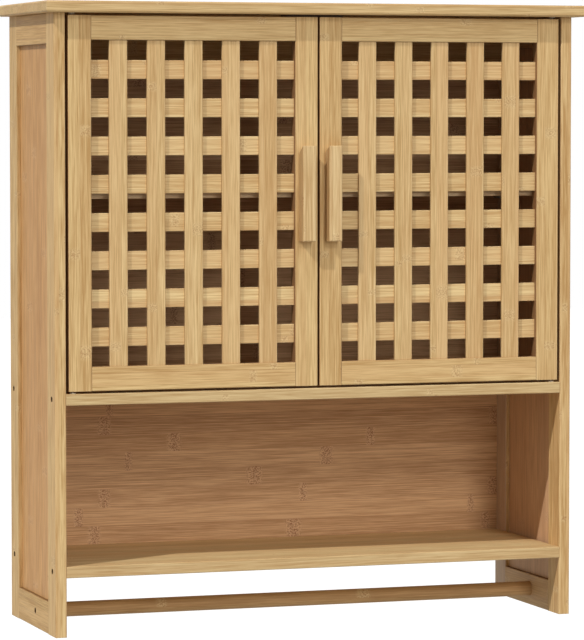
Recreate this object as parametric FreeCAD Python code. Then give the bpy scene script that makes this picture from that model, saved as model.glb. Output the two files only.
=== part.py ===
import FreeCAD, Part
import os
from collections import namedtuple
from math import cos, pi, sin

# Bathroom wall cabinet in bamboo: frame-and-panel sides, two lattice doors on pivot pins, an adjustable
# shelf behind them, an open bay below and a towel rod between the feet.
# X runs to the right, Y into the wall, Z up. The wall is the plane Y = 0, and the origin lies on it midway
# between the two holes for the wall screws.

# Driving dimensions in millimetres: the carcass
board_width = 600.0
board_thickness = 12.0
board_end_overhang = 11.0
board_front_overhang = 13.0
board_arris = 1.5
side_height = 649.0
side_depth = 187.0
side_thickness = 12.0
shelf_thickness = 12.0
lower_shelf_height = 62.0
middle_shelf_height = 242.0
arris = 0.7

# Frame and panel of each side
side_front_stile = 31.0
side_rear_stile = 31.0
side_top_rail = 32.0
side_bottom_rail = 34.0
panel_thickness = 3.0
panel_groove = 6.0
panel_play = 0.5

# Back panel and the rail that hangs on the wall
back_thickness = 4.0
back_rebate = 6.0
hanging_rail_height = 50.0
hanging_rail_thickness = 12.0
wall_hole_spacing = 420.0
wall_hole_diameter = 5.5

# Towel rod
rod_diameter = 16.0
rod_from_front = 85.0
rod_height = 18.0
rod_socket = 4.0

# Adjustable shelf and its pins
inner_shelf_height = 456.0
inner_shelf_side_play = 1.0
inner_shelf_front_gap = 4.0
inner_shelf_back_gap = 1.0
peg_diameter = 5.0
peg_depth = 8.5
peg_end_play = 0.5
peg_from_front = 20.5
peg_from_back = 18.0
peg_pitch = 32.0
peg_levels = 3
tab_reach = 9.0
tab_width = 7.0
tab_height = 6.0

# Doors
door_thickness = 14.0
door_side_gap = 3.0
door_meeting_gap = 2.0
door_top_gap = 2.5
door_bottom_gap = 2.5
door_stile = 25.0
door_rail = 25.5
door_hinge_round = 1.0
door_meeting_round = 1.0
tenon_length = 15.0
tenon_thickness = 4.0
tenon_shoulder = 4.0

# Lattice: upright slats in front, cross slats behind them
slat_columns = 5
slat_rows = 8
slat_width = 19.7
upright_slat_thickness = 3.0
cross_slat_thickness = 5.0
slat_recess = 2.0
slat_tenon = 8.0
slat_arris = 0.5
column_edge_gap = 19.7
row_edge_gap = 20.6

# Handles
handle_width = 14.5
handle_projection = 14.0
handle_length = 101.5
handle_rise = 9.2
handle_from_edge = 13.6
handle_undercut = 8.0
handle_arris = 1.0
handle_screw_spacing = 64.0

# Pivots
pivot_from_edge = 5.5
pivot_from_front = 6.0
pin_diameter = 3.0
pin_in_door = 20.0
pin_in_bush = 7.0
bush_diameter = 6.0
bush_length = 8.0
flange_diameter = 7.0
flange_thickness = 1.0

# Magnetic catch and strike plates
catch_width = 66.0
catch_depth = 14.0
catch_height = 15.0
catch_arris = 1.0
catch_screw_from_end = 5.5
magnet_width = 16.0
magnet_height = 9.0
magnet_depth = 10.0
magnet_proud = 0.5
magnet_drop = 4.0
catch_gap = 0.3
strike_width = 20.0
strike_height = 20.0
strike_lap = 1.0
strike_thickness = 1.2

# Screws by their sizes across: deep in the carcass, behind the handles, and small ones for thin pieces
ScrewKind = namedtuple("ScrewKind", "shank head head_height socket")
carcass_kind = ScrewKind(shank=4.0, head=6.2, head_height=3.5, socket=3.5)
handle_kind = ScrewKind(shank=4.0, head=7.5, head_height=2.0, socket=3.5)
small_kind = ScrewKind(shank=3.0, head=6.0, head_height=1.5, socket=3.0)
small_sides = 12
socket_share = 0.6
screw_length = 38.0
screw_recess = 5.0
screw_from_edge = 13.5
rail_screw_spacing = 240.0
handle_screw_grip = 9.0
back_screw_length = 12.0
back_screw_from_side = 47.0
catch_screw_length = 20.0
strike_screw_length = 8.0
strike_screw_from_low = 4.0

# Clearances
fit = 0.05
end_play = 0.5

# Directions
X = FreeCAD.Vector(1, 0, 0)
Y = FreeCAD.Vector(0, 1, 0)
Z = FreeCAD.Vector(0, 0, 1)
ORIGIN = FreeCAD.Vector(0, 0, 0)

# Places worked out from the driving dimensions
foot = hanging_rail_height / 2 - side_height
side_top = foot + side_height
side_out = board_width / 2 - board_end_overhang
side_in = side_out - side_thickness
front = -side_depth
shelf_back = -back_thickness
lower_shelf_low = foot + lower_shelf_height
middle_shelf_low = foot + middle_shelf_height
middle_shelf_top = middle_shelf_low + shelf_thickness
panel_out = side_out - (side_thickness - panel_thickness) / 2
panel_in = panel_out - panel_thickness
stile_inner_front = front + side_front_stile
stile_inner_rear = -side_rear_stile
rail_top_low = side_top - side_top_rail
rail_bottom_top = foot + side_bottom_rail
rod_y = front + rod_from_front
rod_z = foot + rod_height

door_hinge_edge = -side_in + door_side_gap
door_meeting_edge = -door_meeting_gap / 2
door_low = middle_shelf_top + door_bottom_gap
door_top = side_top - door_top_gap
door_back = front + door_thickness
door_inner_left = door_hinge_edge + door_stile
door_inner_right = door_meeting_edge - door_stile
door_inner_low = door_low + door_rail
door_inner_top = door_top - door_rail
column_front = front + slat_recess
row_front = column_front + upright_slat_thickness
row_back = row_front + cross_slat_thickness
column_span = door_inner_right - door_inner_left - 2 * column_edge_gap - slat_width
column_pitch = column_span / (slat_columns - 1)
row_span = door_inner_top - door_inner_low - 2 * row_edge_gap - slat_width
row_pitch = row_span / (slat_rows - 1)
column_lefts = [door_inner_left + column_edge_gap + i * column_pitch for i in range(slat_columns)]
row_lows = [door_inner_low + row_edge_gap + i * row_pitch for i in range(slat_rows)]
handle_x = door_meeting_edge - handle_from_edge
handle_z = (door_low + door_top) / 2 + handle_rise
handle_screw_zs = [handle_z - handle_screw_spacing / 2, handle_z + handle_screw_spacing / 2]
pivot_x = door_hinge_edge + pivot_from_edge
pivot_y = front + pivot_from_front

inner_shelf_low = foot + inner_shelf_height
inner_shelf_front = door_back + inner_shelf_front_gap
inner_shelf_back = shelf_back - inner_shelf_back_gap
peg_z = inner_shelf_low - tab_height / 2
peg_ys = [front + peg_from_front, -peg_from_back]
peg_zs = [peg_z + (i - (peg_levels - 1) / 2) * peg_pitch for i in range(peg_levels)]

magnet_z = side_top - magnet_drop - magnet_height / 2
strike_top = side_top - magnet_drop + strike_lap
strike_low = strike_top - strike_height
magnet_face = door_back + strike_thickness + catch_gap
catch_front = magnet_face + magnet_proud
catch_screw_x = catch_width / 2 - catch_screw_from_end

screw_ys = [front + screw_from_edge, -screw_from_edge]
shelf_screw_zs = [zone + shelf_thickness / 2 for zone in (lower_shelf_low, middle_shelf_low)]
side_screw_seat = -side_out + screw_recess
board_screw_seat = side_top + board_thickness - screw_recess
rail_screw_y = shelf_back - hanging_rail_thickness / 2
rail_screw_xs = [-rail_screw_spacing / 2, rail_screw_spacing / 2]
back_screw_xs = [back_screw_from_side - side_in, 0.0, side_in - back_screw_from_side]


def box(x0, x1, y0, y1, z0, z1):
    """A block between two corners."""
    return Part.makeBox(x1 - x0, y1 - y0, z1 - z0, FreeCAD.Vector(x0, y0, z0))


def cylinder(diameter, start, direction, length):
    """A round bar from a point along a direction."""
    return Part.makeCylinder(diameter / 2, length, start, direction)


def edges_along(shape, along, chosen):
    """The straight edges along a direction, or those of them whose middle point is chosen."""
    edges = []
    for edge in shape.Edges:
        run = edge.Vertexes[-1].Point - edge.Vertexes[0].Point
        parallel = run.Length > 0 and abs(abs(run.normalize().dot(along)) - 1) < 1e-6
        if parallel and (chosen is None or chosen(edge.CenterOfMass)):
            edges.append(edge)
    return edges


def eased(shape, width, along, chosen=None):
    """Take a narrow flat off the edges that run along a direction."""
    return shape.makeChamfer(width, edges_along(shape, along, chosen))


def rounded(shape, radius, along, chosen):
    """Round the edges along a direction whose middle point is chosen."""
    return shape.makeFillet(radius, edges_along(shape, along, chosen))


def mirrored(shape):
    """The same piece on the other side of the cabinet."""
    return shape.mirror(ORIGIN, X)


def both_sides(shapes):
    """A list of pieces on the left with their mirror images on the right."""
    return shapes + [mirrored(shape) for shape in shapes]


def export(shapes, node):
    """Write one piece, or a group of like pieces, to its own file."""
    group = shapes if isinstance(shapes, list) else [shapes]
    shape = group[0] if len(group) == 1 else Part.makeCompound(group)
    shape.exportStep("parts/" + node + ".step")


def prism(diameter, sides, start, direction, length):
    """A bar of regular section, measured across its corners, from a point along a direction."""
    side_way = Z if abs(direction.dot(Z)) < 0.5 else X
    other_way = direction.cross(side_way)
    corners = []
    for i in range(sides + 1):
        angle = 2 * pi * i / sides
        outward = side_way * cos(angle) + other_way * sin(angle)
        corners.append(start + outward * (diameter / 2))
    return Part.Face(Part.makePolygon(corners)).extrude(direction * length)


def small_bar(diameter, start, direction, length):
    """A small fastener's round part, or the hole that takes it, with a few flat sides."""
    return prism(diameter, small_sides, start, direction, length)


def screw(kind, seat, direction, length):
    """A screw whose head bears on the seat, with its shank along the direction."""
    crown = seat - direction * kind.head_height
    head = small_bar(kind.head, crown, direction, kind.head_height)
    shank = small_bar(kind.shank, seat, direction, length)
    socket = prism(kind.socket, 6, crown, direction, kind.head_height * socket_share)
    return head.fuse(shank).removeSplitter().cut(socket)


def screw_bore(kind, seat, direction, length, recess):
    """The hole for such a screw, with a recess of a given depth for its head."""
    hole = small_bar(kind.shank + 2 * fit, seat, direction, length + end_play)
    if recess == 0:
        return hole
    return hole.fuse(small_bar(kind.head + 2 * fit, seat - direction * recess, direction, recess))


def carcass_screw(seat, direction):
    """A recessed screw of the carcass."""
    return screw(carcass_kind, seat, direction, screw_length)


def carcass_screw_bore(seat, direction):
    """The recessed hole that takes such a screw."""
    return screw_bore(carcass_kind, seat, direction, screw_length, screw_recess)


def shelf_screws():
    """Screws through the left side into the ends of both fixed shelves."""
    seats = [FreeCAD.Vector(side_screw_seat, y, z) for z in shelf_screw_zs for y in screw_ys]
    return [carcass_screw(seat, X) for seat in seats]


def shelf_screw_bores():
    """Holes for those screws in the left side and the shelves."""
    seats = [FreeCAD.Vector(side_screw_seat, y, z) for z in shelf_screw_zs for y in screw_ys]
    return [carcass_screw_bore(seat, X) for seat in seats]


def rod_screw_seat():
    """Where the head of the left rod screw bears."""
    return FreeCAD.Vector(side_screw_seat, rod_y, rod_z)


def side_board_screw_seats():
    """Where the screws from the top board into the left side bear."""
    x = -(side_out + side_in) / 2
    return [FreeCAD.Vector(x, y, board_screw_seat) for y in screw_ys]


def rail_screw_seats():
    """Where the screws from the top board into the hanging rail bear."""
    return [FreeCAD.Vector(x, rail_screw_y, board_screw_seat) for x in rail_screw_xs]


def wall_hole_bores():
    """Holes for the two screws that hold the cabinet on the wall."""
    length = back_thickness + hanging_rail_thickness
    xs = (-wall_hole_spacing / 2, wall_hole_spacing / 2)
    return [cylinder(wall_hole_diameter, FreeCAD.Vector(x, -length, 0), Y, length) for x in xs]


def back_screw_seats():
    """Where the heads of the back panel's screws bear, sunk level with it."""
    y = -small_kind.head_height
    return [FreeCAD.Vector(x, y, z) for z in shelf_screw_zs for x in back_screw_xs]


def back_screw_bores():
    """Holes for those screws in the back panel and in both fixed shelves."""
    depth = small_kind.head_height
    return [screw_bore(small_kind, seat, -Y, back_screw_length, depth) for seat in back_screw_seats()]


def peg_bores():
    """Rows of holes in the left side for the shelf pins."""
    bores = []
    for y in peg_ys:
        for z in peg_zs:
            start = FreeCAD.Vector(-side_in, y, z)
            bores.append(small_bar(peg_diameter + 2 * fit, start, -X, peg_depth + peg_end_play))
    return bores


def side_groove():
    """The groove round the inside of a side frame, which holds its panel and the rails' tenons."""
    y0 = stile_inner_front - panel_groove
    y1 = stile_inner_rear + panel_groove
    return box(-panel_out, -panel_in, y0, y1, foot, side_top)


def side_stile(y0, y1):
    """An upright of the left side, grooved and bored for what it holds."""
    stile = eased(box(-side_out, -side_in, y0, y1, foot, side_top), arris, Z)
    bores = shelf_screw_bores() + peg_bores()
    bores += [carcass_screw_bore(seat, -Z) for seat in side_board_screw_seats()]
    return stile.cut([side_groove()] + bores)


def side_front():
    """Front stile of the left side."""
    return side_stile(front, stile_inner_front)


def side_rear():
    """Rear stile of the left side, rebated for the back panel down to the lower shelf."""
    rebate = box(-side_in - back_rebate, -side_in, -back_thickness, 0, lower_shelf_low, side_top)
    return side_stile(stile_inner_rear, 0).cut(rebate)


def side_rail(z0, z1):
    """A cross rail of the left side with a tenon at each end."""
    rail = eased(box(-side_out, -side_in, stile_inner_front, stile_inner_rear, z0, z1), arris, Y)
    y0 = stile_inner_front - panel_groove
    y1 = stile_inner_rear + panel_groove
    return rail.fuse(box(-panel_out, -panel_in, y0, y1, z0, z1)).removeSplitter()


def side_top_cross():
    """Top rail of the left side, grooved underneath."""
    rail = side_rail(rail_top_low, side_top)
    y0 = stile_inner_front - panel_groove
    y1 = stile_inner_rear + panel_groove
    return rail.cut(box(-panel_out, -panel_in, y0, y1, rail_top_low, rail_top_low + panel_groove))


def side_bottom_cross():
    """Bottom rail of the left side, grooved on top and bored for the towel rod."""
    rail = side_rail(foot, rail_bottom_top)
    y0 = stile_inner_front - panel_groove
    y1 = stile_inner_rear + panel_groove
    groove = box(-panel_out, -panel_in, y0, y1, rail_bottom_top - panel_groove, rail_bottom_top)
    mouth = FreeCAD.Vector(-side_in, rod_y, rod_z)
    socket = cylinder(rod_diameter + 2 * fit, mouth, -X, rod_socket)
    return rail.cut([groove, socket, carcass_screw_bore(rod_screw_seat(), X)])


def side_panel():
    """Thin panel of the left side, loose in its grooves."""
    reach = panel_groove - panel_play
    y0 = stile_inner_front - reach
    y1 = stile_inner_rear + reach
    return box(-panel_out, -panel_in, y0, y1, rail_bottom_top - reach, rail_top_low + reach)


def bush_pockets(z, direction):
    """Pockets for the pivot bushes at both ends of a board."""
    mouth = FreeCAD.Vector(pivot_x, pivot_y, z)
    return both_sides([small_bar(bush_diameter + 2 * fit, mouth, direction, bush_length)])


def top_board():
    """Top board, eased on its front and ends, bored for its screws, the bushes and the catch."""
    half = board_width / 2
    z1 = side_top + board_thickness
    board = box(-half, half, front - board_front_overhang, 0, side_top, z1)
    board = eased(board, board_arris, X, lambda middle: middle.y < front)
    board = eased(board, board_arris, Y)
    bores = both_sides([carcass_screw_bore(seat, -Z) for seat in side_board_screw_seats()])
    bores += [carcass_screw_bore(seat, -Z) for seat in rail_screw_seats()]
    return board.cut(bores + catch_screw_bores() + bush_pockets(side_top, Z))


def fixed_shelf(low):
    """A shelf between the sides, bored for its screws."""
    shelf = box(-side_in, side_in, front, shelf_back, low, low + shelf_thickness)
    shelf = eased(shelf, arris, X, lambda middle: middle.y < front + arris)
    return shelf.cut(both_sides(shelf_screw_bores()) + back_screw_bores())


def middle_shelf():
    """Floor of the closed compartment, with the lower pivot bushes let into it."""
    return fixed_shelf(middle_shelf_low).cut(bush_pockets(middle_shelf_top, -Z))


def back_panel():
    """Thin back, let into the sides and running from the lower shelf to the top board."""
    half = side_in + back_rebate - panel_play
    panel = box(-half, half, -back_thickness, 0, lower_shelf_low, side_top)
    return panel.cut(back_screw_bores() + wall_hole_bores())


def hanging_rail():
    """Rail under the top board that carries the cabinet on its two wall screws."""
    y0 = shelf_back - hanging_rail_thickness
    rail = box(-side_in, side_in, y0, shelf_back, side_top - hanging_rail_height, side_top)
    rail = eased(rail, arris, X, lambda middle: middle.y < y0 + arris)
    bores = [carcass_screw_bore(seat, -Z) for seat in rail_screw_seats()]
    return rail.cut(bores + wall_hole_bores())


def towel_rod():
    """Round rod let into the bottom rails of both sides."""
    half = side_in + rod_socket
    rod = cylinder(rod_diameter, FreeCAD.Vector(-half, rod_y, rod_z), X, 2 * half)
    return rod.cut(both_sides([carcass_screw_bore(rod_screw_seat(), X)]))


def shelf_pins():
    """Pins with a flat tab, two in the left side, that carry the adjustable shelf."""
    pins = []
    for y in peg_ys:
        shank = small_bar(peg_diameter, FreeCAD.Vector(-side_in, y, peg_z), -X, peg_depth)
        y0 = y - tab_width / 2
        z0 = inner_shelf_low - tab_height
        tab = box(-side_in, -side_in + tab_reach, y0, y0 + tab_width, z0, inner_shelf_low)
        tab = eased(tab, arris, Y, lambda middle: middle.z < peg_z)
        pins.append(shank.fuse(tab).removeSplitter())
    return pins


def adjustable_shelf():
    """Loose shelf that rests on the pins."""
    half = side_in - inner_shelf_side_play
    z1 = inner_shelf_low + shelf_thickness
    shelf = box(-half, half, inner_shelf_front, inner_shelf_back, inner_shelf_low, z1)
    return eased(shelf, arris, X, lambda middle: middle.y < inner_shelf_front + arris)


def pivot_bushes():
    """Flanged cups for the left door's pins: the lower pin stands in its cup, the upper one has play."""
    bushes = []
    for z, outward, play in ((middle_shelf_top, Z, 0.0), (side_top, -Z, end_play)):
        face = FreeCAD.Vector(pivot_x, pivot_y, z)
        sleeve = small_bar(bush_diameter, face - outward * bush_length, outward, bush_length)
        flange = small_bar(flange_diameter, face, outward, flange_thickness)
        depth = pin_in_bush + play
        bore = cylinder(pin_diameter + 2 * fit, face - outward * depth, outward, depth + flange_thickness)
        bushes.append(sleeve.fuse(flange).removeSplitter().cut(bore))
    return bushes


def catch_screw_seats():
    """Where the heads of the catch's screws bear, sunk level with its underside."""
    z = side_top - catch_height + small_kind.head_height
    return [FreeCAD.Vector(x, catch_front + catch_depth / 2, z) for x in (-catch_screw_x, catch_screw_x)]


def catch_screws():
    """Screws that hold the catch up under the top board."""
    return [screw(small_kind, seat, Z, catch_screw_length) for seat in catch_screw_seats()]


def catch_screw_bores():
    """The holes for those screws."""
    depth = small_kind.head_height
    return [screw_bore(small_kind, seat, Z, catch_screw_length, depth) for seat in catch_screw_seats()]


def catch_magnet(x):
    """Block magnet that stands a little proud of the catch's face."""
    z0 = magnet_z - magnet_height / 2
    half = magnet_width / 2
    return box(x - half, x + half, magnet_face, magnet_face + magnet_depth, z0, z0 + magnet_height)


def catch_body():
    """Housing of the double magnetic catch."""
    half = catch_width / 2
    low = side_top - catch_height
    body = box(-half, half, catch_front, catch_front + catch_depth, low, side_top)
    body = eased(body, catch_arris, Z)
    magnets = [catch_magnet(handle_x), catch_magnet(-handle_x)]
    return body.cut(magnets + catch_screw_bores())


def row_slats(reach, arris_width):
    """Cross slats of the left door, with their ends a given reach inside the stiles."""
    slats = []
    x0 = door_inner_left - reach
    x1 = door_inner_right + reach
    for low in row_lows:
        slat = box(x0, x1, row_front, row_back, low, low + slat_width)
        if arris_width:
            slat = eased(slat, arris_width, X, lambda middle: middle.y < row_front + arris_width)
        slats.append(slat)
    return slats


def column_slats(reach, arris_width):
    """Upright slats of the left door, with their ends a given reach inside the rails."""
    slats = []
    z0 = door_inner_low - reach
    z1 = door_inner_top + reach
    for left in column_lefts:
        slat = box(left, left + slat_width, column_front, row_front, z0, z1)
        if arris_width:
            slat = eased(slat, arris_width, Z, lambda middle: middle.y < column_front + arris_width)
        slats.append(slat)
    return slats


def door_tenons(reach):
    """Tenons of the door's two rails, a given reach inside the stiles."""
    x0 = door_inner_left - reach
    x1 = door_inner_right + reach
    y0 = front + (door_thickness - tenon_thickness) / 2
    tenons = []
    for low in (door_low, door_inner_top):
        z0 = low + tenon_shoulder
        z1 = low + door_rail - tenon_shoulder
        tenons.append(box(x0, x1, y0, y0 + tenon_thickness, z0, z1))
    return tenons


def door_rail_bar(low, number):
    """A cross rail of the left door with its tenons, cut for the upright slats and the strike's screw."""
    rail = eased(box(door_inner_left, door_inner_right, front, door_back, low, low + door_rail), arris, X)
    rail = rail.fuse(door_tenons(tenon_length)[number]).removeSplitter()
    return rail.cut(column_slats(slat_tenon + end_play, 0) + [strike_screw_bore()])


def door_stile_bar(outer, inner, outer_round):
    """An upright of the left door, rounded on its outer front edge, with the mortises of what it holds."""
    stile = box(min(outer, inner), max(outer, inner), front, door_back, door_low, door_top)
    depth = front + door_thickness / 2
    half = door_stile / 2
    stile = rounded(stile, outer_round, Z, lambda middle: middle.y < depth and abs(middle.x - outer) < half)
    stile = eased(stile, arris, Z, lambda middle: middle.y > depth or abs(middle.x - outer) > half)
    return stile.cut(door_tenons(tenon_length + end_play) + row_slats(slat_tenon + end_play, 0))


def hinge_stile():
    """Outer upright of the left door, rounded where it turns past the side and drilled for its pins."""
    stile = door_stile_bar(door_hinge_edge, door_inner_left, door_hinge_round)
    holes = []
    for z, inward in ((door_low, Z), (door_top, -Z)):
        start = FreeCAD.Vector(pivot_x, pivot_y, z)
        holes.append(cylinder(pin_diameter + 2 * fit, start, inward, pin_in_door + end_play))
    return stile.cut(holes)


def meeting_stile():
    """Inner upright of the left door, drilled for the handle and the strike plate."""
    stile = door_stile_bar(door_meeting_edge, door_inner_right, door_meeting_round)
    return stile.cut(handle_screw_bores() + [strike_screw_bore()])


def handle():
    """Bar with its upper end undercut towards the door, eased at the edges that a hand meets."""
    x0 = handle_x - handle_width / 2
    outer = front - handle_projection
    half = handle_length / 2
    outline = [(outer, -half), (outer, half), (front, half - handle_undercut), (front, -half), (outer, -half)]
    corners = [FreeCAD.Vector(x0, y, handle_z + z) for y, z in outline]
    bar = Part.Face(Part.makePolygon(corners)).extrude(X * handle_width)
    bar = eased(bar, handle_arris, Z, lambda middle: middle.y < front - arris)
    bar = eased(bar, handle_arris, X, lambda middle: middle.y < front - arris)
    return bar.cut(handle_screw_bores())


def handle_screw_seats():
    """Where the heads of the left handle's screws bear on the back of the stile."""
    return [FreeCAD.Vector(handle_x, door_back, z) for z in handle_screw_zs]


def handle_screws():
    """Two screws from the back of the stile into the handle."""
    length = door_thickness + handle_screw_grip
    return [screw(handle_kind, seat, -Y, length) for seat in handle_screw_seats()]


def handle_screw_bores():
    """Holes for the handle's screws."""
    length = door_thickness + handle_screw_grip
    return [screw_bore(handle_kind, seat, -Y, length, 0) for seat in handle_screw_seats()]


def pivot_pins():
    """Steel pins at the foot and the head of the left door."""
    pins = []
    for z, inward, gap in ((door_low, Z, door_bottom_gap), (door_top, -Z, door_top_gap)):
        reach = gap + pin_in_bush
        tip = FreeCAD.Vector(pivot_x, pivot_y, z) - inward * reach
        pins.append(cylinder(pin_diameter, tip, inward, reach + pin_in_door))
    return pins


def strike_screw_seat():
    """Where the head of the left strike plate's screw bears, clear below the catch."""
    return FreeCAD.Vector(handle_x, door_back + strike_thickness, strike_low + strike_screw_from_low)


def strike_screw():
    """Screw that holds the strike plate on the left door."""
    return screw(small_kind, strike_screw_seat(), -Y, strike_screw_length)


def strike_screw_bore():
    """The hole for that screw."""
    return screw_bore(small_kind, strike_screw_seat(), -Y, strike_screw_length, 0)


def strike_plate():
    """Steel plate on the back of the left door, which the magnet holds."""
    half = strike_width / 2
    y1 = door_back + strike_thickness
    plate = box(handle_x - half, handle_x + half, door_back, y1, strike_low, strike_top)
    return eased(plate, arris, Y).cut(strike_screw_bore())


def export_sides():
    """Write the ten pieces of the two sides."""
    pieces = {
        "front_stile": side_front(),
        "rear_stile": side_rear(),
        "top_rail": side_top_cross(),
        "bottom_rail": side_bottom_cross(),
        "panel": side_panel(),
    }
    for name, shape in pieces.items():
        export(shape, "left_side_" + name)
        export(mirrored(shape), "right_side_" + name)


def export_doors():
    """Write the pieces of the two doors, which mirror each other."""
    pieces = {
        "hinge_stile": [hinge_stile()],
        "meeting_stile": [meeting_stile()],
        "bottom_rail": [door_rail_bar(door_low, 0)],
        "top_rail": [door_rail_bar(door_inner_top, 1)],
        "upright_slats": column_slats(slat_tenon, slat_arris),
        "cross_slats": row_slats(slat_tenon, slat_arris),
        "handle": [handle()],
        "handle_screws": handle_screws(),
        "pivot_pins": pivot_pins(),
        "strike_plate": [strike_plate()],
        "strike_screw": [strike_screw()],
    }
    for name, shapes in pieces.items():
        export(shapes, "left_door_" + name)
        export([mirrored(shape) for shape in shapes], "right_door_" + name)


def export_carcass():
    """Write the boards, the rod, the shelf and the fittings."""
    export(top_board(), "top_board")
    export(middle_shelf(), "middle_shelf")
    export(fixed_shelf(lower_shelf_low), "lower_shelf")
    export(back_panel(), "back_panel")
    export(hanging_rail(), "hanging_rail")
    export(towel_rod(), "towel_rod")
    export(adjustable_shelf(), "adjustable_shelf")
    export(both_sides(shelf_pins()), "shelf_pins")
    export(both_sides(pivot_bushes()), "pivot_bushes")
    export(catch_body(), "catch_body")
    export([catch_magnet(handle_x), catch_magnet(-handle_x)], "catch_magnets")
    export(catch_screws(), "catch_screws")
    export(both_sides(shelf_screws()), "shelf_screws")
    export(both_sides([carcass_screw(rod_screw_seat(), X)]), "rod_screws")
    board_screws = both_sides([carcass_screw(seat, -Z) for seat in side_board_screw_seats()])
    board_screws += [carcass_screw(seat, -Z) for seat in rail_screw_seats()]
    export(board_screws, "top_board_screws")
    back_screws = [screw(small_kind, seat, -Y, back_screw_length) for seat in back_screw_seats()]
    export(back_screws, "back_panel_screws")


def main():
    """Build every piece and write it to the parts folder."""
    os.makedirs("parts", exist_ok=True)
    export_sides()
    export_doors()
    export_carcass()


main()
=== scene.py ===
"""Finishes, light and camera of a bamboo bathroom wall cabinet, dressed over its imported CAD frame."""
import logging
import math
from dataclasses import dataclass, replace
from enum import Enum

import bpy
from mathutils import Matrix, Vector

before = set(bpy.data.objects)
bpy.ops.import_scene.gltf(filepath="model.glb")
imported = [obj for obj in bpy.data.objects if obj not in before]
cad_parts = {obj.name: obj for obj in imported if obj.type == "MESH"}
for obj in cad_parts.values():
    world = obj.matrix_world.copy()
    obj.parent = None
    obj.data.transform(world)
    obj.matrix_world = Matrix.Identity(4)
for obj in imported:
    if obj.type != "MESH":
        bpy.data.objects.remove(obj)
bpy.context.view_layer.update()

log = logging.getLogger("cabinet")

MM = 1000.0

# Noise seldom leaves these values, so a finish spreads its range between them
NOISE_LOW = 0.3
NOISE_HIGH = 0.7

# The Mix node's colour sockets, by number because their names are shared with its other sockets
MIX_FROM = 6
MIX_TO = 7
MIX_OUT = 2

Colour = tuple[float, float, float, float]
Triple = tuple[float, float, float]
Span = tuple[float, float]
Tree = bpy.types.NodeTree
Feed = bpy.types.NodeSocket | float | tuple


def linear(hex_colour: str) -> Colour:
    """Turn an sRGB hex colour into linear light.

    Args:
        hex_colour: Six hex digits after a hash sign.

    Returns:
        Red, green, blue and an alpha of one.
    """
    shares = [int(hex_colour[i:i + 2], 16) / 255 for i in (1, 3, 5)]
    red, green, blue = (c / 12.92 if c <= 0.04045 else ((c + 0.055) / 1.055) ** 2.4 for c in shares)
    return red, green, blue, 1.0


def add(tree: Tree, kind: str, feeds: dict[int | str, Feed], out: int | str = 0,
        **settings: object) -> bpy.types.NodeSocket | None:
    """Add one node with its settings and links.

    Args:
        tree: Node tree that takes the node.
        kind: Blender's name for the type of node.
        feeds: What goes into each input, a value or another node's output.
        out: Which output to hand on.
        **settings: Properties of the node.

    Returns:
        The chosen output socket, or nothing for a node that has none.
    """
    node = tree.nodes.new(kind)
    for name, value in settings.items():
        setattr(node, name, value)
    for key, value in feeds.items():
        if isinstance(value, bpy.types.NodeSocket):
            tree.links.new(value, node.inputs[key])
        else:
            node.inputs[key].default_value = value
    return node.outputs[out] if node.outputs else None


def empty_material(name: str) -> tuple[bpy.types.Material, Tree]:
    """Make a material with a bare node tree.

    Args:
        name: Name of the material.

    Returns:
        The material and its tree.
    """
    made = bpy.data.materials.new(name)
    made.use_nodes = True
    made.node_tree.nodes.clear()
    return made, made.node_tree


def rubbed_and_highlit_edges(tree: Tree, radius_mm: float, turn: Span, gain: float) -> tuple[Feed, Feed]:
    """Round the edges to the eye, and find the edges that a finish paints paler: a painted highlight on
    the bamboo, rubbed plating on the steel.

    Args:
        tree: Node tree of the material.
        radius_mm: Radius of the rounded edge.
        turn: How well the rounded and the flat normal agree where the paler edge starts and where it is
            full.
        gain: How strongly the paler edge shows where it is full.

    Returns:
        The rounded normal, and how strongly the paler edge shows.
    """
    soft = add(tree, "ShaderNodeBevel", {"Radius": radius_mm / MM}, samples=4)
    flat = add(tree, "ShaderNodeNewGeometry", {}, out="Normal")
    agreed = add(tree, "ShaderNodeVectorMath", {0: soft, 1: flat}, out="Value", operation="DOT_PRODUCT")
    wear_and_highlight = add(tree, "ShaderNodeMapRange",
               {"Value": agreed, "From Min": turn[0], "From Max": turn[1], "To Min": 0.0, "To Max": gain})
    return soft, wear_and_highlight


class Grain(Enum):
    """How a piece's fibres lie: the axes along them, across its strips and through its layers."""

    FLAT_BOARD = ("X", "Y", "Z")
    SIDEWAYS = ("X", "Z", "Y")
    UPRIGHT = ("Z", "X", "Y")
    UPRIGHT_ON_SIDE = ("Z", "Y", "X")
    FRONT_TO_BACK = ("Y", "Z", "X")


class Side(Enum):
    """Left or right half of the cabinet, as seen from the front."""

    LEFT = "left"
    RIGHT = "right"


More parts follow.
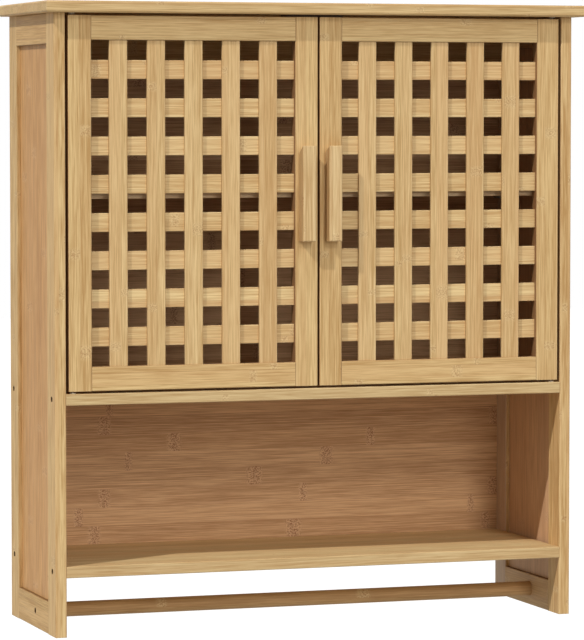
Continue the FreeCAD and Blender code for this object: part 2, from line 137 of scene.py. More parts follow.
@dataclass(frozen=True)
class Bamboo:
    """Laminated bamboo under satin lacquer.

    Strips of culm are planed, glued edge to edge in layers, sanded and lacquered. The eye gets straight
    fibre streaks, a step in tone from strip to strip, fine glue lines and speckled knuckles where the
    culm had its joints. Fibres are really about 0.3 mm wide: the fine streaks are drawn coarser to show.
    """

    name: str
    grain: Grain
    seed: float
    # Tones of the fibres, and how far each pattern pulls between them
    pale: str = "#E5C58C"
    dark: str = "#BC945C"
    warm: str = "#CC9C68"
    tone_gain: float = 0.4
    drift_gain: float = 0.8
    streak_gain: float = 1.9
    fine_gain: float = 2.8
    warm_gain: float = 0.35
    # Strips and layers, with the share of one by which they are shifted, and the streaks along the fibres
    strip_mm: float = 20.0
    strip_shift: float = 0.37
    layer_mm: float = 6.0
    layer_shift: float = 0.41
    streak_mm: float = 2.4
    streak_length_mm: float = 110.0
    fine_ratio: float = 3.0
    drift_mm: float = 15.0
    drift_length_mm: float = 90.0
    shuffle_reach: float = 37.0
    # Knuckles: their spacing, their half length with its fullest share, and how chance shrinks them
    knuckle_pitch_mm: float = 230.0
    knuckle_shift: float = 7.0
    knuckle_half_mm: float = 9.0
    knuckle_core: float = 0.3
    knuckle_shrink: Span = (0.8, 1.9)
    knuckle_share: float = 0.5
    knuckle_tone: str = "#9C693E"
    knuckle_gain: float = 0.42
    # Dark ring at the middle of a knuckle, and specks about 1.5 mm long and 1.25 mm wide all over it
    ring_reach: float = 0.6
    ring_gain: float = 0.2
    specks_per_mm: Triple = (0.65, 0.8, 0.8)
    speck_span: Span = (0.34, 0.58)
    speck_tone: str = "#F0D6A0"
    # Glue between the strips
    glue_line_mm: float = 0.45
    glue_gain: float = 0.28
    # Corners painted pale, as a painted highlight along the arrises
    rounded_edge_mm: float = 0.9
    wear_and_highlight_turn: Span = (0.98, 0.8)
    edge_highlight_tone: str = "#EBD3A4"
    edge_highlight_gain: float = 0.45
    # Faces at the strips' edges, darkened as painted shade
    edge_shade_turn: Span = (0.6, 0.95)
    edge_shade_tone: str = "#74482A"
    edge_shade_gain: float = 0.0
    # Sides of the screw bores, darkened as painted shade, and their place in front of the room's wall, as
    # a negative length
    bore_turn: float = 0.3
    bore_shade_tone: str = "#4E300F"
    bore_place_mm: float = 0.0
    bore_reach_mm: float = 0.0
    # Faces that look into the cabinet, greyed as painted shade
    inner_shade_span_mm: Span = (-50.0, -200.0)
    inner_shade_tone: str = "#B8A196"
    inner_shade_gain: float = 0.0
    # Lacquer over the relief of the fibres
    roughness: Span = (0.52, 0.68)
    gloss: float = 0.25
    ior: float = 1.48
    relief_mm: float = 0.12
    relief_gain: float = 0.25

    def material(self) -> bpy.types.Material:
        """Build the finish as a node material.

        Returns:
            The material with its colour, sheen and relief.
        """
        made, tree = empty_material(self.name)
        place = add(tree, "ShaderNodeTexCoord", {}).node.outputs
        in_mm = add(tree, "ShaderNodeVectorMath", {0: place["Object"], 1: (MM, MM, MM)},
                    operation="MULTIPLY")
        split = add(tree, "ShaderNodeSeparateXYZ", {0: in_mm}).node.outputs
        axes = tuple(split[axis] for axis in self.grain.value)
        strips, cell = self.strips(tree, axes)
        chance = add(tree, "ShaderNodeTexWhiteNoise", {"Vector": cell}, out="Value")
        chances = chance.node.outputs["Color"]
        hues = add(tree, "ShaderNodeSeparateColor", {0: chances}).node.outputs

        drift = self.drawn_noise(tree, axes, chances, self.drift_length_mm, self.drift_mm)
        streak = self.drawn_noise(tree, axes, chances, self.streak_length_mm, self.streak_mm)
        fine = self.drawn_noise(tree, axes, chances, self.streak_length_mm / self.fine_ratio,
                                self.streak_mm / self.fine_ratio)
        colour = self.fibres(tree, (chance, drift, streak, fine), hues["Green"])
        colour = self.knuckles(tree, axes, cell, hues["Red"], colour)
        colour = self.glue_lines(tree, strips, colour)
        # Painted highlight along the bamboo's arrises
        soft, wear_and_highlight = rubbed_and_highlit_edges(tree, self.rounded_edge_mm, self.wear_and_highlight_turn, self.edge_highlight_gain)
        colour = add(tree, "ShaderNodeMix", {0: wear_and_highlight, MIX_FROM: colour, MIX_TO: linear(self.edge_highlight_tone)},
                     out=MIX_OUT, data_type="RGBA")
        # Painted shade on the faces at the strips' edges
        if self.edge_shade_gain:
            colour = self.paint_edge_shade(tree, place["Normal"], colour)
        # Painted shade that greys the faces looking into the cabinet
        if self.inner_shade_gain:
            colour = self.paint_inner_shade(tree, place["Normal"], split["X"], colour)
        # Painted shade in the screw bores
        if self.bore_reach_mm:
            colour = self.paint_bore_shade(tree, place["Normal"], split["Y"], colour)

        dull = add(tree, "ShaderNodeMapRange",
                   {"Value": streak, "From Min": NOISE_LOW, "From Max": NOISE_HIGH,
                    "To Min": self.roughness[0], "To Max": self.roughness[1]})
        relief = add(tree, "ShaderNodeMath", {0: fine, 1: streak}, operation="ADD")
        ridged = add(tree, "ShaderNodeBump",
                     {"Strength": self.relief_gain, "Distance": self.relief_mm / MM, "Height": relief,
                      "Normal": soft})
        wood = add(tree, "ShaderNodeBsdfPrincipled",
                   {"Base Color": colour, "Roughness": dull, "Normal": ridged, "IOR": self.ior,
                    "Specular IOR Level": self.gloss})
        add(tree, "ShaderNodeOutputMaterial", {"Surface": wood})
        return made

    def strips(self, tree: Tree, axes: tuple[Feed, ...]) -> tuple[Feed, Feed]:
        """Divide the piece into strips and layers.

        Args:
            tree: Node tree of the material.
            axes: Millimetres along, across and through the fibres.

        Returns:
            Count of strips across the piece, with its fraction, and the numbers of strip and layer.
        """
        strips = add(tree, "ShaderNodeMath",
                     {0: axes[1], 1: 1 / self.strip_mm, 2: self.seed * self.strip_shift},
                     operation="MULTIPLY_ADD")
        layers = add(tree, "ShaderNodeMath", {0: axes[2], 1: 1 / self.layer_mm, 2: self.layer_shift},
                     operation="MULTIPLY_ADD")
        strip = add(tree, "ShaderNodeMath", {0: strips}, operation="FLOOR")
        layer = add(tree, "ShaderNodeMath", {0: layers}, operation="FLOOR")
        cell = add(tree, "ShaderNodeCombineXYZ", {0: strip, 1: layer, 2: self.seed})
        return strips, cell

    def drawn_noise(self, tree: Tree, axes: tuple[Feed, ...], chances: Feed, length_mm: float,
                    width_mm: float) -> Feed:
        """Add noise that is drawn out along the fibres and breaks at each strip.

        Args:
            tree: Node tree of the material.
            axes: Millimetres along, across and through the fibres.
            chances: Three chances for each strip, which move the noise about.
            length_mm: Length of a streak.
            width_mm: Width of a streak.

        Returns:
            Output with the noise, about 0.5 on average.
        """
        scales = (1 / length_mm, 1 / width_mm, 1 / width_mm)
        lengths = add(tree, "ShaderNodeCombineXYZ", dict(enumerate(axes)))
        drawn = add(tree, "ShaderNodeVectorMath", {0: lengths, 1: scales}, operation="MULTIPLY")
        moved = add(tree, "ShaderNodeVectorMath", {0: chances, 1: (self.shuffle_reach,) * 3, 2: drawn},
                    operation="MULTIPLY_ADD")
        return add(tree, "ShaderNodeTexNoise",
                   {"Vector": moved, "Scale": 1.0, "Detail": 3.0, "Roughness": 0.6})

    def fibres(self, tree: Tree, patterns: tuple[Feed, ...], warm_chance: Feed) -> Feed:
        """Colour the fibres between their dark, pale and warm tones.

        Args:
            tree: Node tree of the material.
            patterns: Chance of each strip, drift along it, streaks and fine streaks.
            warm_chance: Chance of each strip to be warm.

        Returns:
            Output with the colour.
        """
        gains = (self.tone_gain, self.drift_gain, self.streak_gain, self.fine_gain)
        tone = 0.5 - sum(gains) / 2
        for pattern, gain in zip(patterns, gains):
            tone = add(tree, "ShaderNodeMath", {0: pattern, 1: gain, 2: tone}, operation="MULTIPLY_ADD")
        colour = add(tree, "ShaderNodeMix",
                     {0: tone, MIX_FROM: linear(self.dark), MIX_TO: linear(self.pale)},
                     out=MIX_OUT, data_type="RGBA")
        drift = patterns[1]
        warmth = add(tree, "ShaderNodeMath", {0: warm_chance, 1: drift}, operation="MULTIPLY")
        warmth = add(tree, "ShaderNodeMath", {0: warmth, 1: 2 * self.warm_gain}, operation="MULTIPLY")
        return add(tree, "ShaderNodeMix", {0: warmth, MIX_FROM: colour, MIX_TO: linear(self.warm)},
                   out=MIX_OUT, data_type="RGBA")

    def knuckles(self, tree: Tree, axes: tuple[Feed, ...], cell: Feed, chance: Feed,
                 colour: Feed) -> Feed:
        """Draw the culm's joints, at another place on each strip and missing from some.

        Args:
            tree: Node tree of the material.
            axes: Millimetres along, across and through the fibres.
            cell: Numbers of the strip and the layer.
            chance: Chance that shifts the joints of each strip.
            colour: Colour of the fibres between the joints.

        Returns:
            Output with the colour of fibres and joints.
        """
        shift = add(tree, "ShaderNodeMath", {0: chance, 1: self.knuckle_shift}, operation="MULTIPLY")
        steps = add(tree, "ShaderNodeMath", {0: axes[0], 1: 1 / self.knuckle_pitch_mm, 2: shift},
                    operation="MULTIPLY_ADD")
        step = add(tree, "ShaderNodeMath", {0: steps}, operation="FLOOR")
        spot = add(tree, "ShaderNodeVectorMath", {0: cell, 1: step}, operation="ADD")
        luck = add(tree, "ShaderNodeTexWhiteNoise", {"Vector": spot}, out="Value")
        present = add(tree, "ShaderNodeMath", {0: luck, 1: self.knuckle_share}, operation="LESS_THAN")
        shrink = add(tree, "ShaderNodeMapRange",
                     {"Value": luck, "From Min": 0.0, "From Max": self.knuckle_share,
                      "To Min": self.knuckle_shrink[0], "To Max": self.knuckle_shrink[1]})
        share = add(tree, "ShaderNodeMath", {0: steps}, operation="FRACT")
        off = add(tree, "ShaderNodeMath", {0: share, 1: 0.5}, operation="SUBTRACT")
        off = add(tree, "ShaderNodeMath", {0: off}, operation="ABSOLUTE")
        off = add(tree, "ShaderNodeMath", {0: off, 1: shrink}, operation="MULTIPLY")
        reach = self.knuckle_half_mm / self.knuckle_pitch_mm
        near = add(tree, "ShaderNodeMapRange",
                   {"Value": off, "From Min": reach, "From Max": reach * self.knuckle_core,
                    "To Min": 0.0, "To Max": self.knuckle_gain}, interpolation_type="SMOOTHSTEP")
        strength = add(tree, "ShaderNodeMath", {0: near, 1: present}, operation="MULTIPLY")

        lengths = add(tree, "ShaderNodeCombineXYZ", dict(enumerate(axes)))
        specks = add(tree, "ShaderNodeVectorMath", {0: lengths, 1: self.specks_per_mm},
                     operation="MULTIPLY")
        specks = add(tree, "ShaderNodeTexNoise", {"Vector": specks, "Scale": 1.0, "Detail": 2.0})
        speck = add(tree, "ShaderNodeMapRange",
                    {"Value": specks, "From Min": self.speck_span[0], "From Max": self.speck_span[1]})
        ring = add(tree, "ShaderNodeMapRange",
                   {"Value": off, "From Min": reach * self.ring_reach, "From Max": 0.0, "To Min": 0.0,
                    "To Max": -self.ring_gain})
        speck = add(tree, "ShaderNodeMath", {0: speck, 1: ring}, operation="ADD")
        speckled = add(tree, "ShaderNodeMix",
                       {0: speck, MIX_FROM: linear(self.knuckle_tone), MIX_TO: linear(self.speck_tone)},
                       out=MIX_OUT, data_type="RGBA")
        return add(tree, "ShaderNodeMix", {0: strength, MIX_FROM: colour, MIX_TO: speckled},
                   out=MIX_OUT, data_type="RGBA")

    def glue_lines(self, tree: Tree, strips: Feed, colour: Feed) -> Feed:
        """Draw the thin dark lines where strip meets strip.

        Args:
            tree: Node tree of the material.
            strips: Count of strips across the piece, with its fraction.
            colour: Colour of the strips.

        Returns:
            Output with the colour of strips and lines.
        """
        share = add(tree, "ShaderNodeMath", {0: strips}, operation="FRACT")
        off = add(tree, "ShaderNodeMath", {0: share, 1: 0.5}, operation="SUBTRACT")
        off = add(tree, "ShaderNodeMath", {0: off}, operation="ABSOLUTE")
        line = add(tree, "ShaderNodeMapRange",
                   {"Value": off, "From Min": 0.5 - self.glue_line_mm / self.strip_mm,
                    "From Max": 0.5, "To Min": 0.0, "To Max": self.glue_gain})
        return add(tree, "ShaderNodeMix", {0: line, MIX_FROM: colour, MIX_TO: linear(self.knuckle_tone)},
                   out=MIX_OUT, data_type="RGBA")

    def paint_edge_shade(self, tree: Tree, normal: Feed, colour: Feed) -> Feed:
        """Darken the faces that show the strips' edges, as painted shade in gaps and recesses and on the
        sides of slats and handles.

        Args:
            tree: Node tree of the material.
            normal: Which way the surface faces in the piece's own frame.
            colour: Colour of the other faces.

        Returns:
            Output with the colour of all faces.
        """
        sides = add(tree, "ShaderNodeSeparateXYZ", {0: normal}, out=self.grain.value[1])
        turn = add(tree, "ShaderNodeMath", {0: sides}, operation="ABSOLUTE")
        # Painted shade, strongest on faces that look across the strips
        edge = add(tree, "ShaderNodeMapRange",
                   {"Value": turn, "From Min": self.edge_shade_turn[0], "From Max": self.edge_shade_turn[1],
                    "To Min": 0.0, "To Max": self.edge_shade_gain})
        return add(tree, "ShaderNodeMix", {0: edge, MIX_FROM: colour, MIX_TO: linear(self.edge_shade_tone)},
                   out=MIX_OUT, data_type="RGBA")

    def paint_inner_shade(self, tree: Tree, normal: Feed, across: Feed, colour: Feed) -> Feed:
        """Grey the faces that look into the cabinet, as painted shade inside it.

        Args:
            tree: Node tree of the material.
            normal: Which way the surface faces in the piece's own frame.
            across: Millimetres to the right of the cabinet's middle.
            colour: Colour of the outer faces.

        Returns:
            Output with the colour of all faces.
        """
        facing = add(tree, "ShaderNodeSeparateXYZ", {0: normal}, out="X")
        outward = add(tree, "ShaderNodeMath", {0: facing, 1: across}, operation="MULTIPLY")
        # Painted shade, strongest on faces that look towards the cabinet's middle
        inner_shade = add(tree, "ShaderNodeMapRange",
                    {"Value": outward, "From Min": self.inner_shade_span_mm[0],
                     "From Max": self.inner_shade_span_mm[1], "To Min": 0.0, "To Max": self.inner_shade_gain})
        return add(tree, "ShaderNodeMix", {0: inner_shade, MIX_FROM: colour, MIX_TO: linear(self.inner_shade_tone)},
                   out=MIX_OUT, data_type="RGBA")

    def paint_bore_shade(self, tree: Tree, normal: Feed, depth: Feed, colour: Feed) -> Feed:
        """Darken the sides of the screw bores, as painted shade in these recesses.

        Args:
            tree: Node tree of the material.
            normal: Which way the surface faces in the piece's own frame.
            depth: Millimetres in front of the room's wall, as a negative length.
            colour: Colour of the other faces.

        Returns:
            Output with the colour of all faces.
        """
        facing = add(tree, "ShaderNodeSeparateXYZ", {0: normal}, out="Y")
        turn = add(tree, "ShaderNodeMath", {0: facing}, operation="ABSOLUTE")
        wall = add(tree, "ShaderNodeMath", {0: turn, 1: self.bore_turn}, operation="GREATER_THAN")
        near = add(tree, "ShaderNodeMath",
                   {0: depth, 1: self.bore_place_mm, 2: self.bore_reach_mm}, operation="COMPARE")
        # Painted shade on the bore sides near the screws
        bore_shade = add(tree, "ShaderNodeMath", {0: wall, 1: near}, operation="MULTIPLY")
        return add(tree, "ShaderNodeMix", {0: bore_shade, MIX_FROM: colour, MIX_TO: linear(self.bore_shade_tone)},
                   out=MIX_OUT, data_type="RGBA")


@dataclass(frozen=True)
class PlatedSteel:
    """Steel fasteners and plates with a thin plating or a black oxide.

    Cold-formed, tumbled and plated, so the metal is a little cloudy, with rubbed bright edges.
    """

    name: str
    tone: str
    edge: str
    roughness: Span = (0.28, 0.46)
    cloud_mm: float = 1.4
    rounded_edge_mm: float = 0.35
    wear_and_highlight_turn: Span = (0.97, 0.75)

    def material(self) -> bpy.types.Material:
        """Build the finish as a node material.

        Returns:
            The material with its colour and cloudy sheen.
        """
        made, tree = empty_material(self.name)
        place = add(tree, "ShaderNodeTexCoord", {}, out="Object")
        cloud = add(tree, "ShaderNodeTexNoise",
                    {"Vector": place, "Scale": MM / self.cloud_mm, "Detail": 2.0})
        soft, wear_and_highlight = rubbed_and_highlit_edges(tree, self.rounded_edge_mm, self.wear_and_highlight_turn, 1.0)
        colour = add(tree, "ShaderNodeMix",
                     {0: wear_and_highlight, MIX_FROM: linear(self.tone), MIX_TO: linear(self.edge)},
                     out=MIX_OUT, data_type="RGBA")
        dull = add(tree, "ShaderNodeMapRange",
                   {"Value": cloud, "From Min": NOISE_LOW, "From Max": NOISE_HIGH,
                    "To Min": self.roughness[0], "To Max": self.roughness[1]})
        metal = add(tree, "ShaderNodeBsdfPrincipled",
                    {"Base Color": colour, "Roughness": dull, "Metallic": 1.0, "Normal": soft})
        add(tree, "ShaderNodeOutputMaterial", {"Surface": metal})
        return made


@dataclass(frozen=True)
class Moulded:
    """Plastic from a spark-eroded mould, or ferrite powder pressed and sintered.

    Both come out of a tool without further work, so the eye gets one even tone with a fine dull grain.
    The real grain is about 0.1 mm across, and is drawn coarser to show.
    """

    name: str
    tone: str
    shade: str
    grain_mm: float = 0.7
    grain_span: Span = (0.35, 0.65)
    roughness: Span = (0.42, 0.58)
    ior: float = 1.53
    relief_mm: float = 0.08
    relief_gain: float = 0.2

    def material(self) -> bpy.types.Material:
        """Build the finish as a node material.

        Returns:
            The material with its colour, sheen and pitted relief.
        """
        made, tree = empty_material(self.name)
        place = add(tree, "ShaderNodeTexCoord", {}, out="Object")
        grain = add(tree, "ShaderNodeTexNoise",
                    {"Vector": place, "Scale": MM / self.grain_mm, "Detail": 2.0})
        share = add(tree, "ShaderNodeMapRange",
                    {"Value": grain, "From Min": self.grain_span[0], "From Max": self.grain_span[1]})
        colour = add(tree, "ShaderNodeMix",
                     {0: share, MIX_FROM: linear(self.shade), MIX_TO: linear(self.tone)},
                     out=MIX_OUT, data_type="RGBA")
        dull = add(tree, "ShaderNodeMapRange",
                   {"Value": grain, "From Min": NOISE_LOW, "From Max": NOISE_HIGH,
                    "To Min": self.roughness[0], "To Max": self.roughness[1]})
        pitted = add(tree, "ShaderNodeBump",
                     {"Strength": self.relief_gain, "Distance": self.relief_mm / MM, "Height": grain})
        matt = add(tree, "ShaderNodeBsdfPrincipled",
                   {"Base Color": colour, "Roughness": dull, "Normal": pitted, "IOR": self.ior})
        add(tree, "ShaderNodeOutputMaterial", {"Surface": matt})
        return made


Finish = Bamboo | PlatedSteel | Moulded

# Door frames of narrow strips, with painted shade on their edges that draws the gaps round the doors as
# dark lines
DOOR_STILE = Bamboo("bamboo_door_stile", Grain.UPRIGHT, 3.0, strip_mm=13.0, tone_gain=0.3,
                    warm_gain=0.22, edge_shade_gain=0.8)
DOOR_RAIL = Bamboo("bamboo_door_rail", Grain.SIDEWAYS, 5.0, strip_mm=13.0, edge_shade_gain=0.8)

# Lattice slats, ripped thin and a little paler than the frames, the cross ones paler still as painted
# light against the uprights' shade, the upright ones with painted shade on their sides
UPRIGHT_SLAT = Bamboo("bamboo_upright_slat", Grain.UPRIGHT, 37.0, pale="#E8C992", dark="#C09962",
                      strip_mm=13.0, edge_shade_tone="#94744A", edge_shade_gain=0.4)
LIT_CROSS_SLAT = Bamboo("bamboo_cross_slat_painted_light", Grain.SIDEWAYS, 41.0, pale="#EED29A", dark="#C8A16A",
                    strip_mm=13.0)

# Bar handles, paler than the doors, with painted shade on their sides
HANDLE = Bamboo("bamboo_handle", Grain.UPRIGHT, 7.0, pale="#EDD29D", dark="#C49F6A", strip_mm=7.5,
                edge_shade_tone="#8C6236", edge_shade_gain=0.45)

# Frames of the sides, with broad streaks, painted shade in the bores round the screws and on the rails'
# top and bottom faces, and inner faces greyed as painted shade
SIDE_FRONT = Bamboo("bamboo_side_front", Grain.UPRIGHT_ON_SIDE, 9.0, pale="#E3C38B", dark="#B98F57",
                    strip_mm=15.0, streak_mm=5.0, bore_place_mm=-173.5, bore_reach_mm=6.0)
SIDE_REAR = replace(SIDE_FRONT, name="bamboo_side_rear", inner_shade_gain=0.55, bore_place_mm=-13.5)
SIDE_CROSS = Bamboo("bamboo_side_cross", Grain.FRONT_TO_BACK, 11.0, pale="#DDBB82", dark="#B48B53",
                    strip_mm=15.0, edge_shade_tone="#6E4A20", edge_shade_gain=0.85, inner_shade_gain=0.15,
                    bore_place_mm=-93.5, bore_reach_mm=60.0)

# Thin sheets of the side panels and the back, redder than the frames, the back with bold knuckles
SIDE_PANEL = Bamboo("bamboo_side_panel", Grain.UPRIGHT_ON_SIDE, 13.0, pale="#E1B27A", dark="#BA8851",
                    streak_mm=5.0, speck_tone="#E9C08C", inner_shade_gain=0.3)
BACK_SHEET = Bamboo("bamboo_back_sheet", Grain.SIDEWAYS, 23.0, pale="#DEB488", dark="#A87D54",
                    streak_mm=1.5, tone_gain=0.65, warm_gain=0.25, knuckle_share=0.75,
                    knuckle_half_mm=11.0, knuckle_tone="#7E4A28", knuckle_gain=0.7,
                    speck_tone="#DFB68A")

# Boards glued up flat from wide strips, the hanging rail, and the turned rod, darker as painted shade
# under the lower shelf
# Shelves greyer than the top board, as painted shade on the shelves inside the cabinet
BOARD = Bamboo("bamboo_board_greyed_as_shade", Grain.FLAT_BOARD, 17.0, pale="#DEC592", dark="#B89664")
# The loose shelf paler than the other boards, as painted light on its edge seen through the door's holes
LIT_LOOSE_SHELF = Bamboo("bamboo_loose_shelf_painted_light", Grain.FLAT_BOARD, 43.0, pale="#F0D4AA", dark="#CFA87C")
TOP_BOARD = Bamboo("bamboo_top_board", Grain.FLAT_BOARD, 19.0, pale="#DFC18B", dark="#B7945F")
RAIL = Bamboo("bamboo_rail", Grain.SIDEWAYS, 29.0)
SHADED_ROD = Bamboo("bamboo_rod_painted_shade", Grain.SIDEWAYS, 31.0, pale="#C39B68", dark="#9C7446", strip_mm=9.0)

# Screws with a black oxide, bright zinc on hidden fittings, and zinc darkened as painted shade and a
# little rougher on the turning pins
BLACK_SCREW = PlatedSteel("black_oxide_steel", "#241F1C", "#4A433C")
ZINC = PlatedSteel("zinc_plated_steel", "#B2AFA9", "#D4D1CB")
SHADED_ZINC = PlatedSteel("zinc_plated_steel_painted_shade", "#80705F", "#A39483", roughness=(0.4, 0.6))

# Milky bushes, the brown case of the catch and its grey magnets
NYLON = Moulded("natural_nylon", "#D6C9B0", "#C7B99F")
CATCH_PLASTIC = Moulded("brown_abs", "#7A5B40", "#6A4D35")
FERRITE = Moulded("sintered_ferrite", "#454446", "#333235", grain_mm=0.4, roughness=(0.5, 0.7))


class Wardrobe:
    """Holds one built material for each finish, and lays them on the nodes."""

    def __init__(self) -> None:
        """Start with no material built."""
        self.built: dict[str, bpy.types.Material] = {}

    def lay(self, finish: Finish, *nodes: str) -> None:
        """Give the named nodes a finish in place of their own.

        Args:
            finish: The finish to lay on.
            *nodes: Names of the nodes.
        """
        if finish.name not in self.built:
            self.built[finish.name] = finish.material()
        for name in nodes:
            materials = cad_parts[name].data.materials
            materials.clear()
            materials.append(self.built[finish.name])
            log.info("%s: %s", name, finish.name)


@dataclass
class SideFrame:
    """One side of the cabinet: two stiles, two rails and a thin panel."""

    side: Side
    front: Finish = SIDE_FRONT
    rear: Finish = SIDE_REAR
    cross: Finish = SIDE_CROSS
    panel: Finish = SIDE_PANEL

    def dress(self, wardrobe: Wardrobe) -> None:
        """Lay the finishes on the side's five pieces.

        Args:
            wardrobe: Holder of the built materials.
        """
        stem = f"{self.side.value}_side_"
        wardrobe.lay(self.front, stem + "front_stile")
        wardrobe.lay(self.rear, stem + "rear_stile")
        wardrobe.lay(self.cross, stem + "top_rail", stem + "bottom_rail")
        wardrobe.lay(self.panel, stem + "panel")


@dataclass
class Carcass:
    """Boards, shelves, back, hanging rail, towel rod, catch and their fasteners."""

    board: Finish = BOARD
    loose_shelf: Finish = LIT_LOOSE_SHELF
    top: Finish = TOP_BOARD
    back: Finish = BACK_SHEET
    rail: Finish = RAIL
    rod: Finish = SHADED_ROD

    def dress(self, wardrobe: Wardrobe) -> None:
        """Lay the finishes on the pieces between the sides.

        Args:
            wardrobe: Holder of the built materials.
        """
        wardrobe.lay(self.top, "top_board")
        wardrobe.lay(self.board, "middle_shelf", "lower_shelf")
        wardrobe.lay(self.loose_shelf, "adjustable_shelf")
        wardrobe.lay(self.back, "back_panel")
        wardrobe.lay(self.rail, "hanging_rail")
        wardrobe.lay(self.rod, "towel_rod")
        wardrobe.lay(BLACK_SCREW, "shelf_screws", "rod_screws", "top_board_screws")
        wardrobe.lay(ZINC, "back_panel_screws", "shelf_pins", "catch_screws")
        wardrobe.lay(NYLON, "pivot_bushes")
        wardrobe.lay(CATCH_PLASTIC, "catch_body")
        wardrobe.lay(FERRITE, "catch_magnets")


@dataclass
class LatticeDoor:
    """One door: a mortised frame, crossed slats, a bar handle and its fittings."""

    side: Side
    stile: Finish = DOOR_STILE
    rail: Finish = DOOR_RAIL
    upright_slat: Finish = UPRIGHT_SLAT
    cross_slat: Finish = LIT_CROSS_SLAT
    handle: Finish = HANDLE

    def dress(self, wardrobe: Wardrobe) -> None:
        """Lay the finishes on the door's pieces.

        Args:
            wardrobe: Holder of the built materials.
        """
        stem = f"{self.side.value}_door_"
        wardrobe.lay(self.stile, stem + "hinge_stile", stem + "meeting_stile")
        wardrobe.lay(self.rail, stem + "bottom_rail", stem + "top_rail")
        wardrobe.lay(self.upright_slat, stem + "upright_slats")
        wardrobe.lay(self.cross_slat, stem + "cross_slats")
        wardrobe.lay(self.handle, stem + "handle")
        wardrobe.lay(ZINC, stem + "handle_screws", stem + "strike_plate", stem + "strike_screw")
        wardrobe.lay(SHADED_ZINC, stem + "pivot_pins")


@dataclass(frozen=True)
class Lamp:
    """Distant lamp: the way its light travels, its strength, and how wide it looks in degrees."""

    name: str
    way: Triple
    strength: float
    angle: float

    def build(self) -> None:
        """Add the lamp to the scene."""
        lamp = bpy.data.lights.new(self.name, "SUN")
        lamp.energy = self.strength
        lamp.angle = math.radians(self.angle)
        sun = bpy.data.objects.new(self.name, lamp)
        sun.rotation_mode = "QUATERNION"
        sun.rotation_quaternion = Vector(self.way).to_track_quat("-Z", "Y")
        bpy.context.scene.collection.objects.link(sun)


@dataclass(frozen=True)
class Viewpoint:
    """Camera at the photograph's viewing angle: its place in metres, turns in degrees and lens.

    The focal length is counted in pixels of a picture whose longer side is picture_pixels.
    """

    place: Triple = (-1.2423, -3.7891, -0.0808)
    yaw: float = 18.602
    pitch: float = -3.2581
    focal_pixels: float = 3598.9
    picture_pixels: float = 640.0
    sensor_mm: float = 36.0

    def build(self) -> None:
        """Add the camera and make it the scene's own."""
        yaw = math.radians(self.yaw)
        pitch = math.radians(self.pitch)
        way = Vector((math.sin(yaw) * math.cos(pitch), math.cos(yaw) * math.cos(pitch), math.sin(pitch)))
        lens = bpy.data.cameras.new("camera")
        lens.sensor_width = self.sensor_mm
        lens.lens = self.focal_pixels * self.sensor_mm / self.picture_pixels
        camera = bpy.data.objects.new("camera", lens)
        camera.location = self.place
        camera.rotation_mode = "QUATERNION"
        camera.rotation_quaternion = way.to_track_quat("-Z", "Y")
        bpy.context.scene.collection.objects.link(camera)
        bpy.context.scene.camera = camera


# A narrow key from the upper left draws the hard shadows, and two wide lamps in front soften them
KEY_LAMP = Lamp("key_lamp", (0.61, 0.32, -0.72), 1.96, 1.2)
FRONT_LAMP = Lamp("front_lamp", (-0.09, 0.86, -0.50), 0.63, 10.0)
FILL_LAMP = Lamp("fill_lamp", (-0.12, 0.97, -0.21), 0.47, 15.0)


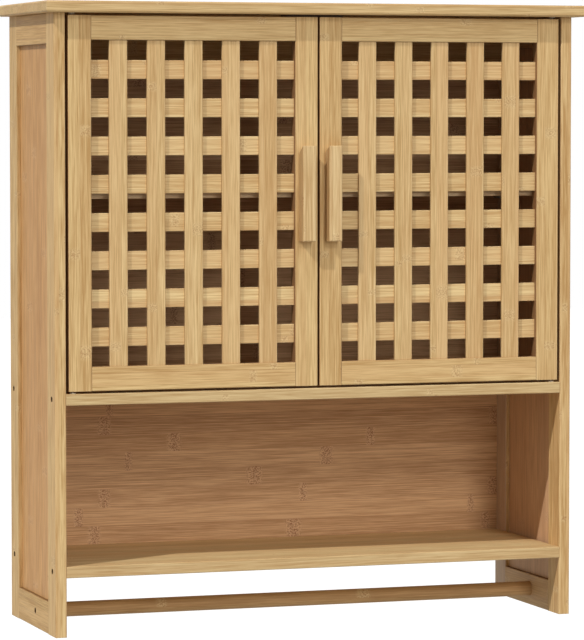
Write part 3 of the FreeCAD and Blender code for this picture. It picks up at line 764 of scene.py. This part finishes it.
@dataclass
class Studio:
    """Pale floor, white surroundings, the lamps and the camera, with lengths in metres."""

    floor_height: float = -1.0
    floor_half: float = 12.0
    floor_tone: str = "#ACABA9"
    floor_lift: float = 0.7
    surround_tone: str = "#FFFFFF"
    ambient: float = 0.41
    lamps: tuple[Lamp, ...] = (KEY_LAMP, FRONT_LAMP, FILL_LAMP)
    viewpoint: Viewpoint = Viewpoint()

    def build(self) -> None:
        """Set up the surroundings, the lamps and the camera."""
        self.build_floor()
        self.build_world()
        for lamp in self.lamps:
            lamp.build()
        self.viewpoint.build()
        bpy.context.scene.view_settings.view_transform = "Standard"

    def build_floor(self) -> None:
        """Lay a wide pale floor that shows white and keeps shadows."""
        half = self.floor_half
        mesh = bpy.data.meshes.new("floor")
        square = ((-half, -half), (half, -half), (half, half), (-half, half))
        corners = [(x, y, self.floor_height) for x, y in square]
        mesh.from_pydata(corners, [], [(0, 1, 2, 3)])
        floor = bpy.data.objects.new("floor", mesh)
        bpy.context.scene.collection.objects.link(floor)
        made, tree = empty_material("pale_floor")
        seen = self.seen_directly(tree)
        matt = add(tree, "ShaderNodeBsdfDiffuse", {"Color": linear(self.floor_tone)})
        lift = add(tree, "ShaderNodeMath", {0: seen, 1: self.floor_lift}, operation="MULTIPLY")
        glow = add(tree, "ShaderNodeEmission", {"Strength": lift})
        both = add(tree, "ShaderNodeAddShader", {0: matt, 1: glow})
        add(tree, "ShaderNodeOutputMaterial", {"Surface": both})
        mesh.materials.append(made)

    def build_world(self) -> None:
        """Surround the object with white that shows at full strength and lights it more gently."""
        world = bpy.data.worlds.new("studio")
        world.use_nodes = True
        tree = world.node_tree
        tree.nodes.clear()
        seen = self.seen_directly(tree)
        strength = add(tree, "ShaderNodeMath", {0: seen, 1: 1 - self.ambient, 2: self.ambient},
                       operation="MULTIPLY_ADD")
        white = add(tree, "ShaderNodeBackground",
                    {"Color": linear(self.surround_tone), "Strength": strength})
        add(tree, "ShaderNodeOutputWorld", {"Surface": white})
        bpy.context.scene.world = world

    def seen_directly(self, tree: Tree) -> Feed:
        """Add a test for light that goes to the eye, straight, by gloss or through glass.

        Args:
            tree: Node tree that takes the test.

        Returns:
            Output that is one for such light and zero for the rest.
        """
        path = add(tree, "ShaderNodeLightPath", {}).node.outputs
        seen = add(tree, "ShaderNodeMath", {0: path["Is Camera Ray"], 1: path["Is Glossy Ray"]},
                   operation="MAXIMUM")
        return add(tree, "ShaderNodeMath", {0: seen, 1: path["Is Transmission Ray"]}, operation="MAXIMUM")


def main() -> None:
    """Dress every sub-assembly, then set up the studio."""
    logging.basicConfig(level=logging.INFO, format="%(name)s: %(message)s")
    wardrobe = Wardrobe()
    Carcass().dress(wardrobe)
    for side in Side:
        SideFrame(side).dress(wardrobe)
        LatticeDoor(side).dress(wardrobe)
    Studio().build()


if __name__ == "__main__":
    main()
